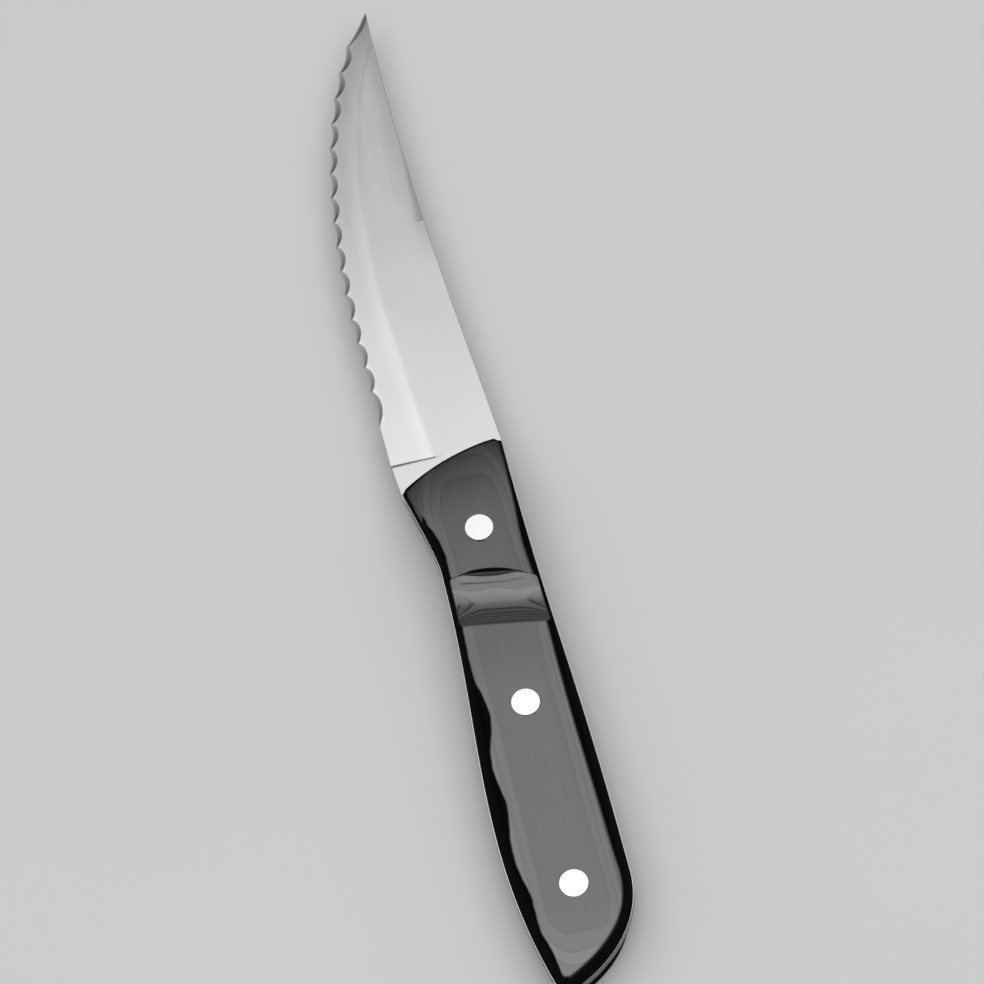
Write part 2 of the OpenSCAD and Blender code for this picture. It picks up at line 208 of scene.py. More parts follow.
def scalloped(x, y):
    """Lowest of the wheel-ground hollows. A wheel of radius r leaves the height
    (r - sqrt(r^2 - u^2) - v sin(tilt)) / cos(tilt) over its lowest line, for u along the edge and
    v out of it."""
    lowest = np.full(np.shape(x), np.inf)
    for front, rear, depth, tilt in zip(teeth[:-1], teeth[1:], scallop_depths, scallop_tilts):
        chord = np.hypot(*(front - rear)) - tooth_flat
        sag = depth * math.sin(tilt)
        r = (chord ** 2 / 4 + sag ** 2) / (2 * sag)
        middle = (front + rear) / 2
        turn = math.atan2(front[1] - rear[1], front[0] - rear[0])
        dx, dy = x - middle[0], y - middle[1]
        most = 0.95 * r
        u = np.clip(dx * math.cos(turn) + dy * math.sin(turn), -most, most)
        v = dy * math.cos(turn) - dx * math.sin(turn) + depth
        hollow = (r - np.sqrt(r * r - u * u) - v * math.sin(tilt)) / math.cos(tilt)
        lowest = np.minimum(lowest, hollow - half_edge)
    return lowest


def left_face(x, y):
    """Height of the left face: the lowest of the ground face, the false edge and the scallops."""
    return np.minimum(np.minimum(ground(x, y), false_edge(x, y)), scalloped(x, y))


def right_face(x, y):
    """Height of the right face, which is the left one turned over but without the scallops."""
    return -np.minimum(ground(x, y), false_edge(x, y))


def first_depth(clear, x, limit, halvings=30):
    """Least depth below the edge line at which clear(x, y) is above zero, by halving the interval
    from no depth to the limit."""
    low, high = np.zeros_like(x), np.full_like(x, limit)
    start = clear(x, upper_y(x)) >= 0
    for _ in range(halvings):
        half = (low + high) / 2
        above = clear(x, upper_y(x) - half) >= 0
        low, high = np.where(above, low, half), np.where(above, half, high)
    return np.where(start, 0, high)


def stations():
    """Places along the knife at which the plate has a ring: crowded at the butt, at the plunge line
    and beside each tooth, where the outline or the faces turn quickly. In each stretch the rings
    lie evenly, at a power of their even shares, or as the steps of a half turn seen edge on."""
    rear = belly_side[-1, 0]
    first, tip, least_step = rear + 0.005 * mm, knife_len - 0.1 * mm, 0.02 * mm
    wall_end = plunge_x + 1.1 * mm
    tang = rear + (handle_len - rear) * np.linspace(0, 1, 150)[:-1] ** 1.8
    bare = np.linspace(handle_len, plunge_x, 16)[:-1]
    wall = np.linspace(plunge_x, wall_end, 24)[:-1]
    plain = np.linspace(wall_end, tooth_x[-1], 30)[:-1]
    step = swedge_x + wall_run * swedge_drop * np.linspace(0, 1.2, 7)
    turn = (1 - np.cos(np.linspace(0, np.pi, 47)[:-1])) / 2
    hollows = [rear_x + (front_x - rear_x) * turn
               for rear_x, front_x in zip(tooth_x[:0:-1], tooth_x[-2::-1])]
    places = np.unique(np.concatenate([[first], tang[1:], bare, wall, plain, step, *hollows]))
    places = places[places < tip - least_step]
    return np.append(places[np.append(True, np.diff(places) > least_step)], tip)


thin = 0.04 * mm
rim_least = 0.9 * mm
rim_highlight_w = 0.15 * mm
tang_ease = 0.05 * mm
ease_growth = 0.09 * mm
ease_run = 8 * mm


def plate_rings(x):
    """Rings round the plate, one at each x. Their lines follow the edge, the rims of the scallops
    and a row beside each rim that carries a painted highlight, the shoulder strip, the ridge and
    the false edge, each at its share of the way from the edge to the spine. The corners of the
    plate are eased."""
    top, bottom = upper_y(x), lower_y(x)
    on_blade = x > handle_len
    edge = np.where(on_blade, first_depth(
        lambda x, y: left_face(x, y) - right_face(x, y) - thin, x, 3 * mm), 0)
    rim = np.where(on_blade, first_depth(
        lambda x, y: scalloped(x, y) - ground(x, y), x, 4 * mm), 0)
    full = top - bottom
    stretch = 1 / np.cos(np.arctan(edge_slope(np.maximum(x, handle_len))))
    width = bevel_width(x) * stretch
    blade_w = height_on(np.stack([x, full], 1))(np.maximum(x, handle_len))
    gap, least = 0.02, 0.02 * mm
    edge_most, rim_most, strip_most, ridge_most, false_most = 0.4, 0.5, 0.84, 0.9, 0.96
    at_edge = np.minimum(edge / full, edge_most)
    at_rim = np.maximum(rim, edge + rim_least) / full
    at_rim = np.clip(at_rim, at_edge + np.maximum(gap / 2, least / full), rim_most)
    at_rim_highlight = at_rim + np.minimum(rim_highlight_w / full, gap)
    at_strip = np.clip((width - strip_w * stretch) / blade_w, at_rim_highlight + gap, strip_most)
    at_ridge = np.clip(width / blade_w, at_strip + gap, ridge_most)
    at_false = np.clip(1 - swedge_w / blade_w, at_ridge + gap, false_most)
    lines = np.stack([at_edge, at_rim, at_rim_highlight, at_strip, at_ridge, at_false, np.ones_like(x)])
    counts = [9, 1, 8, 8, 6, 3]
    rows = [lines[k] + (lines[k + 1] - lines[k]) * t
            for k, count in enumerate(counts) for t in np.linspace(0, 1, count + 1)[:-1]]
    rows = np.stack(rows + [lines[-1]], 1)
    y = top[:, None] - full[:, None] * rows
    xx = np.repeat(x[:, None], y.shape[1], 1)
    up = np.maximum(left_face(xx, y), right_face(xx, y) + thin)
    down = right_face(xx, y)
    most = (tang_ease + ease_growth * smooth((x - handle_len) / ease_run))[:, None]
    thickness_share, row_share = 0.2, 0.6
    ease = np.minimum(most, thickness_share * (up - down))
    in_ease = np.minimum(ease[:, 0] / 2, row_share * (y[:, 0] - y[:, 1]))
    out_ease = np.minimum(ease[:, -1], row_share * (y[:, -2] - y[:, -1]))
    y_top = y.copy()
    y_top[:, 0] -= in_ease
    y_top[:, -1] += out_ease
    y_out = np.stack([y[:, -1], y[:, -1]], 1)
    z_out = np.stack([up[:, -1] - out_ease, down[:, -1] + out_ease], 1)
    y_in = np.stack([y[:, 0], y[:, 0]], 1)
    z_in = np.stack([down[:, 0] + in_ease, up[:, 0] - in_ease], 1)
    ys = np.hstack([y_top, y_out, y_top[:, ::-1], y_in])
    zs = np.hstack([up, z_out, down[:, ::-1], z_in])
    return np.stack([np.repeat(x[:, None], ys.shape[1], 1), ys, zs], 2)


# The knife's own zero in the frame: the butt's end, the rivet line and the plate's middle plane.
low_corner, high_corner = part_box("blade")
rivet_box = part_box("middle_rivet_stud")
zero = np.array([
    high_corner.x - knife_len,
    (rivet_box[0].y + rivet_box[1].y) / 2,
    (low_corner.z + high_corner.z) / 2])

weld_gap = 0.0002 * mm


def skin(name, grids, crease, polygons=()):
    """One closed mesh object out of grids of points and flat polygons, welded where they meet. A
    grid's neighbouring points are joined by quads, and its rows are closed if its flag says so.
    Edges that turn by more than the crease, in degrees, stay sharp."""
    points, faces, count = [], [], 0
    for grid, closed in grids:
        rows, columns = grid.shape[:2]
        index = count + np.arange(rows * columns).reshape(rows, columns)
        if closed:
            index = np.hstack([index, index[:, :1]])
        quads = np.stack([index[:-1, :-1], index[1:, :-1], index[1:, 1:], index[:-1, 1:]], -1)
        points.append(grid.reshape(-1, 3))
        faces += quads.reshape(-1, 4).tolist()
        count += rows * columns
    for polygon in polygons:
        points.append(polygon)
        faces.append(list(range(count, count + len(polygon))))
        count += len(polygon)
    mesh = bpy.data.meshes.new(name)
    mesh.from_pydata((np.vstack(points) + zero).tolist(), [], faces)
    work = bmesh.new()
    work.from_mesh(mesh)
    bmesh.ops.remove_doubles(work, verts=work.verts, dist=weld_gap)
    bmesh.ops.recalc_face_normals(work, faces=work.faces)
    work.to_mesh(mesh)
    work.free()
    mesh.shade_smooth()
    mesh.set_sharp_from_angle(angle=math.radians(crease))
    piece = bpy.data.objects.new(name, mesh)
    bpy.context.scene.collection.objects.link(piece)
    return piece


def turned_drill(x, profile, steps):
    """A drill on the rivet line at x: its profile of (radius, height) points, from axis to axis, is
    carried round the axis in even steps, turned a little off the knife's length."""
    profile = np.array(profile, float)
    turn = 0.02 + np.linspace(0, 2 * np.pi, steps, endpoint=False)[:, None]
    ring = np.stack([
        x + profile[:, 0] * np.cos(turn),
        profile[:, 0] * np.sin(turn),
        np.broadcast_to(profile[:, 1], (steps, len(profile)))], 2)
    return skin("drill", [(np.concatenate([ring, ring[:1]], 0), False)], crease=30)


def bore(piece, drills):
    """Cuts turned drills out of a piece and throws them away."""
    for drill in drills:
        cut = piece.modifiers.new("hole", "BOOLEAN")
        cut.operation, cut.solver, cut.object = "DIFFERENCE", "EXACT", drill
    bored = bpy.data.meshes.new_from_object(
        piece.evaluated_get(bpy.context.evaluated_depsgraph_get()), depsgraph=None)
    piece.modifiers.clear()
    piece.data = bored
    for drill in drills:
        bpy.data.objects.remove(drill)


rear_rivet_x = 21.9 * mm
rivet_pitch = 43.4 * mm
rivet_xs = rear_rivet_x + rivet_pitch * np.arange(3)
barrel_r = 2 * mm
barrel_gap = 0.05 * mm
hole_r = barrel_r + barrel_gap
plate = plate_rings(stations())
blade = skin("knife_blade", [(plate, True)], 18, [plate[0], plate[-1]])
bore(blade, [turned_drill(x, [(0, -2 * half_t), (hole_r, -2 * half_t),
                              (hole_r, 2 * half_t), (0, 2 * half_t)], 72) for x in rivet_xs])
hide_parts("blade")
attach(blade, "root")


class Wire:
    """A shader socket that can be used in Python sums."""

    def __init__(self, tree, socket):
        self.tree, self.socket = tree, socket

    def math(self, operation, *others, flip=False):
        """One Math node on this socket and the others, in turn or the other way round."""
        values = [self, *others]
        if flip:
            values = values[::-1]
        return self.tree.add("ShaderNodeMath", {"operation": operation}, *values)

    def __add__(self, other):
        return self.math("ADD", other)

    def __sub__(self, other):
        return self.math("SUBTRACT", other)

    def __rsub__(self, other):
        return self.math("SUBTRACT", other, flip=True)

    def __mul__(self, other):
        return self.math("MULTIPLY", other)

    def __truediv__(self, other):
        return self.math("DIVIDE", other)

    __radd__, __rmul__ = __add__, __mul__


class Finish:
    """A material, or a world, whose nodes are being laid."""

    def __init__(self, name, world=None):
        holder = world or bpy.data.materials.new(name)
        holder.use_nodes = True
        self.holder, self.nodes, self.links = holder, holder.node_tree.nodes, holder.node_tree.links
        self.nodes.clear()

    def add(self, kind, settings=None, *values, out=0, **named):
        """Any node: its settings first, then its inputs by position or by name, as values or links.
        It returns the output that is asked for."""
        node = self.nodes.new(kind)
        for key, value in (settings or {}).items():
            setattr(node, key, value)
        for key, value in [*enumerate(values), *named.items()]:
            socket = node.inputs[key.replace("_", " ") if isinstance(key, str) else key]
            if isinstance(value, Wire):
                self.links.new(value.socket, socket)
            elif value is not None:
                socket.default_value = value
        return Wire(self, node.outputs[out]) if node.outputs else None

    def place(self, scale=(1, 1, 1)):
        """Object coordinates in knife directions, stretched by a scale."""
        spot = self.add("ShaderNodeTexCoord", None, out=3)
        return self.add("ShaderNodeMapping", None, Vector=spot, Scale=scale)

    def mark(self, name):
        """Number that a piece keeps with its corners."""
        return self.add("ShaderNodeAttribute", {"attribute_name": name}, out=2)

    def noise(self, scale, detail, stretch=(1, 1, 1)):
        """Soft noise from 0 to 1 with so many features per metre."""
        return self.add("ShaderNodeTexNoise", None,
                        Vector=self.place(stretch), Scale=scale, Detail=detail)

    def relief(self, strength, depth, height):
        """Fine relief of a depth in metres."""
        return self.add("ShaderNodeBump", None, Strength=strength, Distance=depth, Height=height)

    def blend(self, share, first, second):
        """Colour between two colours."""
        return self.add("ShaderNodeMix", {"data_type": "RGBA"}, share, None, None, None, None, None,
                        first, second, out=2)

    def surface(self, **inputs):
        """The finished material, with the named inputs of its surface."""
        bsdf = self.add("ShaderNodeBsdfPrincipled", None, **inputs)
        self.add("ShaderNodeOutputMaterial", None, Surface=bsdf)
        return self.holder


def spots(piece):
    """Knife coordinates of a piece's corners."""
    flat = np.empty(len(piece.data.vertices) * 3)
    piece.data.vertices.foreach_get("co", flat)
    return (flat.reshape(-1, 3) - zero).T


def keep(piece, name, values):
    """Keeps a number with each corner of a piece."""
    piece.data.attributes.new(name, "FLOAT", "POINT").data.foreach_set("value", values)


def mark_steel(piece):
    """Two numbers on the blade: a brightness that mixes how the steel is finished with painted
    light, and the painted shade in each scallop. The shoulder strip and the bevel carry a painted
    highlight over the flat, painted shade darkens the spine towards the point and the false edge,
    and painted shade lies along both plunge walls; the sides of the tang are left dull as they were
    blanked. Each scallop gets painted shade at its rear end, most near the point, a painted
    highlight at its front end and a thin painted highlight along its inner rim, and the lands
    between the scallops carry a painted highlight too. Each number is a plain value, plus or minus
    cubic steps and round humps."""
    # Levels of the painted highlight on the strip and of the painted shade on the spine, the false
    # edge and the plunge walls; the flat and blanked levels are the steel's own.
    flat_polish, strip_highlight, bevel_loss = 0.96, 0.16, 0.05
    spine_shade, false_edge_shade = 0.17, 0.07
    wall_shade_level, blanked_polish = 0.12, 0.15
    x, y, z = spots(piece)
    fall, wall, e = grinding(x, y)
    cut, step = swedge(x, y)
    ground_share = smooth(e / (1.2 * mm)) * (x > plunge_x)
    past_strip = smooth((e - 2.4 * mm) / (2 * mm))
    # Painted highlight: the shoulder strip and the bevel are made paler than the flat.
    polish_and_light = flat_polish + ground_share * (strip_highlight - bevel_loss * past_strip)
    near_spine = 1 - smooth((y - lower_y(x)) / (5 * mm))
    # Painted shade: the spine darkens towards the point, and so does the false edge.
    polish_and_light = polish_and_light - spine_shade * near_spine * smooth((x - 178 * mm) / (14 * mm))
    polish_and_light = polish_and_light - false_edge_shade * smooth(cut / (0.05 * mm)) * (x > swedge_x)
    # Painted shade along both plunge walls, the plain one and the false edge's.
    wall_shade = (wall < fall + 0.03 * mm) & (x > plunge_x) & (fall > 0.02 * mm)
    wall_shade |= (step < cut + 0.02 * mm) & (x > swedge_x) & (cut > 0)
    polish_and_light = np.where(wall_shade, wall_shade_level, polish_and_light)
    tang_side = (np.abs(z) < half_t - 0.02 * mm) & (x < handle_len)
    polish_and_light = np.where(tang_side, blanked_polish, polish_and_light)
    over = half_t - np.minimum(fall, wall) - scalloped(x, y)
    front = np.searchsorted(-tooth_x, -x).clip(1, len(tooth_x) - 1)
    along = ((x - tooth_x[front]) / (tooth_x[front - 1] - tooth_x[front])).clip(0, 1)
    upper = (z > 0) & (x > tooth_x[-1]) & (e > 2 * mm)
    rim_highlight_h, land_w, rear_shade_level, point_shade_level = 0.06 * mm, 0.6 * mm, 0.85, 0.5
    # Painted highlight along each scallop's inner rim.
    rim_highlight = np.exp(-(over / rim_highlight_h) ** 2) * (0.12 + 0.2 * along ** 2)
    # Painted highlights at each scallop's front end and on the lands between the scallops.
    bright = 0.2 * smooth((along - 0.78) / 0.14) * (over > 0.02 * mm) * (front > 1)
    near = np.where(along > 0.5, tooth_x[front - 1], tooth_x[front])
    land = 0.22 * np.exp(-((x - near) / land_w) ** 2) * smooth(2 - (bevel_width(x) - e) / mm)
    keep(piece, "polish_and_light", polish_and_light + np.maximum(np.maximum(rim_highlight, bright), land) * upper)
    # Painted shade in each scallop, darkest at its rear end and more towards the point.
    dark = rear_shade_level * (1 - along) ** 1.3 * (0.65 + 0.35 * smooth((x - 150 * mm) / (60 * mm)))
    keep(piece, "scallop",
         smooth(over / (0.10 * mm)) * np.where(front > 1, dark, point_shade_level) * upper)


def blade_finish():
    """Satin stainless steel. Fine polishing lines run along the flats and cloud the gloss a little,
    and the scallops are left coarser by the wheel."""
    darkest_steel, bright_steel = (0.03, 0.03, 0.03, 1), (0.96, 0.97, 0.96, 1)
    steel = Finish("satin_steel")
    polish_and_light, scallop = steel.mark("polish_and_light"), steel.mark("scallop")
    lines = steel.noise(900, 3.0, (0.03, 1, 1))
    marks = steel.noise(5000, 2.0, (1, 0.15, 1))
    cloud = steel.noise(60, 2.0)
    rough = 0.22 + lines * 0.10 + cloud * 0.05 + scallop * 0.10
    # The first number mixes the finish with painted highlights and painted shade, and the scallop
    # number is painted shade; both set the steel's colour here.
    share = (polish_and_light * 0.77 - 0.04) * (1 - scallop * (0.75 + marks * 0.5)) + cloud * 0.055
    colour = steel.blend(share, darkest_steel, bright_steel)
    relief = steel.relief(0.05, 0.02 * mm, lines)
    return steel.surface(Base_Color=colour, Metallic=1.0, Roughness=rough, Normal=relief)


mark_steel(blade)
blade.data.materials.append(blade_finish())

# Scales: two slabs of black laminated wood, sawn to the tang's outline, crowned, and hollowed by a
# round cutter for the thumb. Their arched front ends lean back from the blade, and the shoulders
# are dressed by hand, so that the flat on the belly side has a wavy border.
scale_t = 7.2 * mm
proud = 0.15 * mm
side_lean = 0.5 * mm
front_r = 55 * mm
front_lean = 2.2 * mm
front_round = 0.9 * mm
crown_drop = 0.9 * mm
belly_crown = 0.6
land_half = 3.4 * mm
head_r = 3.1 * mm
crown_run = back_y - land_half - head_r
nose_drop = 0.9 * mm
butt_drop = 1.4 * mm
shoulder_h = 3.6 * mm
front_shoulder_h = 1.2 * mm
fall_front_x = 112.8 * mm
fall_rear_x = 17.8 * mm
corner_x = 128.1 * mm
corner_run = 1.7 * mm
corner_pull = 0.9 * mm


class Side:
    """Leaning side of a scale: the line of its foot beside the tang and the line of its top. Both
    run on a little ahead of the front end. At the front the back's top line is pulled in with the
    square of the way past the corner's start."""

    def __init__(self, line, side):
        line = np.vstack([2 * line[:1] - line[10:11], line])
        foot = inset_line(line, proud, side)
        top = inset_line(line, proud + side_lean, side)
        order = np.argsort(top[:, 0])
        self.foot, self.top = foot[order], top[order]
        if side < 0:
            past = np.clip((self.top[:, 0] - corner_x) / corner_run, 0, 1.4)
            self.top[:, 1] += corner_pull * past ** 2
        self.start = line[1, 0]

    def at(self, p, t=1):
        """Place t of the way up the side, where its top line has reached the length p."""
        foot_x, foot_y = (np.interp(p, self.top[:, 0], v) for v in self.foot.T)
        top_y = np.interp(p, *self.top.T)
        return foot_x + (p - foot_x) * t, foot_y + (top_y - foot_y) * t


belly = Side(belly_side, 1)
back = Side(back_side, -1)
rear_x = max(belly.top[0, 0], back.top[0, 0]) + 0.002 * mm


def hump(x, middle, width, height):
    """Round hump on a line, in millimetres: height exp(-((x - middle) / width)^2)."""
    return height * mm * np.exp(-((x / mm - middle) / width) ** 2)


def stepped(x, front, steps):
    """Width that grows backwards from the front by cubic steps, in millimetres:
    front + sum of height smooth((place - x) / run)."""
    grown = [height * smooth((place - x / mm) / run) for height, place, run in steps]
    return sum(grown, front) * mm


file_waves = [(8.5, 4.5, 0.8), (22, 4.1, 0.65), (42.9, 6.6, 1.6), (64.1, 6.9, 2.1),
              (69.6, 1.7, 0.2)]
back_swell, front_swell = (64.3, 53, 1.08), (103, 8, 0.6)
least_shoulder = 0.12 * mm


def belly_shoulder(x):
    """Width of the shoulder on the belly side, with the file's waves and a ripple of two sines."""
    width = stepped(x, -0.25, [(1.43, 121, 16), (0.64, 85, 35), (-1.03, 19, 9)])
    waves = sum(hump(x, *wave) for wave in file_waves)
    ripple = np.sin(x / (0.53 * mm)) + np.sin(x / (0.87 * mm) + 2)
    ripple = ripple * (0.03 + 0.05 * smooth((x / mm - 106) / 4)) * mm
    return np.maximum(width + waves + ripple, least_shoulder)


def back_shoulder(x):
    """Width of the shoulder on the back, with two long swells."""
    width = stepped(x, 0.18, [(0.16, 122, 14), (1.23, 100, 45), (-1.4, 28, 20)])
    return width + hump(x, *back_swell) + hump(x, *front_swell)


def distance_to(line, x, y):
    """Distance of each place to a line of straight steps."""
    nearest = np.full(x.shape, np.inf)
    for start, end in zip(line[:-1], line[1:]):
        step = end - start
        dx, dy = x - start[0], y - start[1]
        t = np.clip((dx * step[0] + dy * step[1]) / (step @ step), 0, 1)
        nearest = np.minimum(nearest, np.hypot(dx - t * step[0], dy - t * step[1]))
    return nearest


def crowned(x, y):
    """Height of the face over the tang before its shoulders are rounded. From the level land along
    the rivets it falls with the square of the way to either side, more to the back than to the
    belly, and further at both ends. Beside the groove it falls less to the back."""
    to_front = np.maximum(0, (x - fall_front_x) / (nose[0] - fall_front_x))
    to_rear = np.maximum(0, (fall_rear_x - x) / fall_rear_x)
    u0 = np.clip((y - land_half) / crown_run, 0, 1.6)
    u1 = np.clip((-y - land_half) / crown_run, 0, 1.6)
    back_crown = crown_drop - hump(x, 89, 8, 0.58)
    return scale_t - crown_drop * belly_crown * u0 ** 2 - back_crown * u1 ** 2 \
        - nose_drop * to_front ** 2 - butt_drop * to_rear ** 2


def quarter_round(q):
    """Fall of a quarter round, from 0 at q = 0 to 1 at q = 1."""
    return 1 - np.sqrt(1 - q ** 2)


line_slack = 0.006 * mm
file_edge = 0.18
file_round = 0.82


def shoulders(x, y):
    """How much the rounded shoulders take off, and how far a place lies inside the belly's and the
    back's. Each is a quarter round as wide as the shoulder, which grows higher to the rear. The
    belly's starts with a slight edge that the file left."""
    to_belly = np.maximum(distance_to(belly.top[::4], x, y) - line_slack, 0)
    to_back = np.maximum(distance_to(back.top[::4], x, y) - line_slack, 0)
    w0, w1 = belly_shoulder(x), back_shoulder(x)
    q0, q1 = np.clip(1 - to_belly / w0, 0, 1), np.clip(1 - to_back / w1, 0, 1)
    growth = shoulder_h - front_shoulder_h
    h0 = front_shoulder_h + growth * smooth((0.95 - x / handle_len) / 0.55)
    h1 = front_shoulder_h + growth * smooth((0.82 - x / handle_len) / 0.32)
    drop = h0 * (file_edge * q0 + file_round * quarter_round(q0)) + h1 * quarter_round(q1)
    return drop, to_belly - w0, to_back - w1


groove_x = 91.2 * mm
groove_depth = 1.9 * mm
groove_ramp = 6.5 * mm
groove_front = 7.6 * mm
groove_skew = math.tan(math.radians(11))
step_h = 1.15 * mm
step_run = 1.2 * mm
rim_bow = 4.9 * mm
rim_middle = 0.43 * waist_y
step_middle = 0.3 * mm
step_least = 0.15
step_fade = 2.8
end_ease_w = 0.9 * mm
end_ease_h = 1.1 * mm


def rim_shape(y):
    """Bow of the groove's front rim: it runs back with the square of the way from its middle."""
    return -rim_bow * ((y - rim_middle) / (rim_middle - nose[1])) ** 2


def groove_lines(y):
    """Places along the knife of the groove's deepest line, the foot of its step and its front rim,
    and the share of the step's height, which runs out to both sides with the square of the way."""
    rim = groove_x + groove_front + rim_shape(y)
    out = (y - step_middle) / (step_middle - nose[1])
    share = np.maximum(step_least, 1 - step_fade * out ** 2)
    return groove_x + groove_skew * y, rim - step_run * share, rim, share


def hollow(x, y):
    """Fall of the thumb groove below the face, from the front: a bowed step down that runs out to
    both sides, a shallow fall with the square of the way from the slanted deepest line, and a
    steeper ramp up to the rear rim, also with the square of the way."""
    low, foot, rim, share = groove_lines(y)
    ahead = np.clip((x - low) / (foot - low), 0, None)
    behind = np.clip((low - x) / groove_ramp, 0, None)
    floor = groove_depth * (1 - behind ** 2) - (groove_depth - step_h * share) * ahead ** 2
    return np.maximum(np.where(x < foot, floor, (rim - x) * step_h / step_run), 0)


def worn(x, y):
    """What the shoulders and the groove take off together: the larger of the two. The groove's own
    two ends are eased by a quarter round."""
    drop, onto_belly, onto_back = shoulders(x, y)
    to_side = np.minimum(onto_belly + belly_shoulder(x), onto_back + back_shoulder(x))
    q = np.clip(1 - to_side / end_ease_w, 0, 1)
    cut = hollow(x, y)
    return np.where(cut > 0, np.maximum(drop, cut + end_ease_h * quarter_round(q)), drop)


def arch_x(y, z):
    """Place of the arched front end at a depth y, where the arch shrinks with the height z."""
    chord = nose - heel
    across = chord / np.hypot(*chord)
    centre = (heel + nose) / 2 \
        + np.array([across[1], -across[0]]) * math.sqrt(front_r ** 2 - (chord @ chord) / 4)
    radius = front_r - front_lean * z / scale_t
    return centre[0] + np.sqrt(radius ** 2 - (y - centre[1]) ** 2)


def front_corner(side, t, z):
    """Where the front end meets a side t of the way up, at the height z, by repeated halving of
    what is left."""
    p = np.full(np.broadcast(t, z).shape, side.start)
    for _ in range(40):
        x, y = side.at(p, t)
        p = p + (arch_x(y, z) - x) / 2
    return p


# Shares of the way from the belly to the back at which a ring has its places, close at both sides.
shoulder_share = 0.2
across = np.concatenate([
    shoulder_share * np.linspace(0, 1, 33)[:-1] ** 1.2,
    np.linspace(shoulder_share, 1 - shoulder_share, 33)[:-1],
    1 - shoulder_share * np.linspace(1, 0, 33) ** 1.2])
arch_end = 101 * mm
bow_reach = 12 * mm


def front_line(z, t=1):
    """Places of the front end at the heights z, t of the way up, from the belly to the back."""
    belly_y = belly.at(front_corner(belly, t, z[..., :1]), t)[1]
    y = belly_y + (back.at(front_corner(back, t, z[..., -1:]), t)[1] - belly_y) * across
    return arch_x(y, z), y


def scale_skin(name, flip):
    """Rings from the front end to the butt, each up the belly wall, over the face and down the
    back wall. Ahead of the groove they take on the arch of the front end, and at the groove the
    bow of its rim. The leaning front end is a grid of its own, and the underside is flat."""
    rise = np.linspace(0, 1, 9)
    front_z = np.full(across.shape, scale_t - nose_drop)
    for _ in range(24):
        front_x, y = front_line(front_z)
        front_z = (front_z + crowned(front_x, y) - worn(front_x, y) - front_round) / 2
    front_x, _ = front_line(front_z)
    middle = len(across) // 2
    turn = np.linspace(0, np.pi / 2, 9)
    ease = front_round * (1 - np.cos(turn))
    rim_x = groove_x + groove_front
    # Places of the rings on the middle line: the rounded front end, the part ahead of the groove,
    # its front rim, its floor and ramp, and the part behind it.
    reach = np.concatenate([
        front_x[middle] - ease,
        np.linspace(front_x[middle] - 1.3 * front_round, rim_x + 1.2 * mm, 40),
        np.linspace(rim_x + 1 * mm, rim_x - 2.9 * mm, 51),
        np.linspace(rim_x - 3.1 * mm, 78 * mm, 68),
        rear_x + (77.6 * mm - rear_x) * np.linspace(1, 0, 230) ** 1.3])[:, None]
    arched = smooth((reach - arch_end) / (reach[0] - arch_end - front_round))
    bowed = np.exp(-((reach - rim_x) / bow_reach) ** 4)
    y = np.zeros((len(reach), len(across)))
    for _ in range(8):
        x = np.maximum(reach + arched * (front_x - front_x[middle]) + bowed * rim_shape(y), rear_x)
        belly_y = belly.at(x[:, :1])[1]
        y = belly_y + (back.at(x[:, -1:])[1] - belly_y) * across
    fall = np.zeros((len(reach), 1))
    fall[:len(ease), 0] = front_round * (1 - np.sin(turn))
    z = crowned(x, y) - worn(x, y) - fall
    z[0] = front_z
    walls = []
    for side, column in [(belly, 0), (back, -1)]:
        top_x, top_z, t = x[:, column][:, None], z[:, column][:, None], rise[:-1]
        lean = front_corner(side, t, top_z * t) - front_corner(side, 1, top_z)
        wall_x, wall_y = side.at(top_x + arched * lean, t)
        walls.append(np.stack([wall_x, wall_y, top_z * t], 2))
    rings = np.concatenate([walls[0], np.stack([x, y, z], 2), walls[1][:, ::-1]], 1)
    end_z, t = z[0] * rise[:, None], rise[:, None]
    front_end = np.stack([*front_line(end_z, t), end_z], 2)
    underside = np.concatenate([rings[:, 0], rings[::-1, -1], front_end[0, -2:0:-1]])
    turned = np.array([1, 1, flip])
    lift = np.array([0, 0, flip * half_t])
    return skin(name, [(rings * turned + lift, False), (front_end * turned + lift, False)],
                24, [underside * turned + lift, rings[-1] * turned + lift])


line_x = 95.55 * mm
line_lean = 0.17
line_bow = 3
line_w = 0.18 * mm
foot_w = 0.2 * mm
line_half = 7.6 * mm


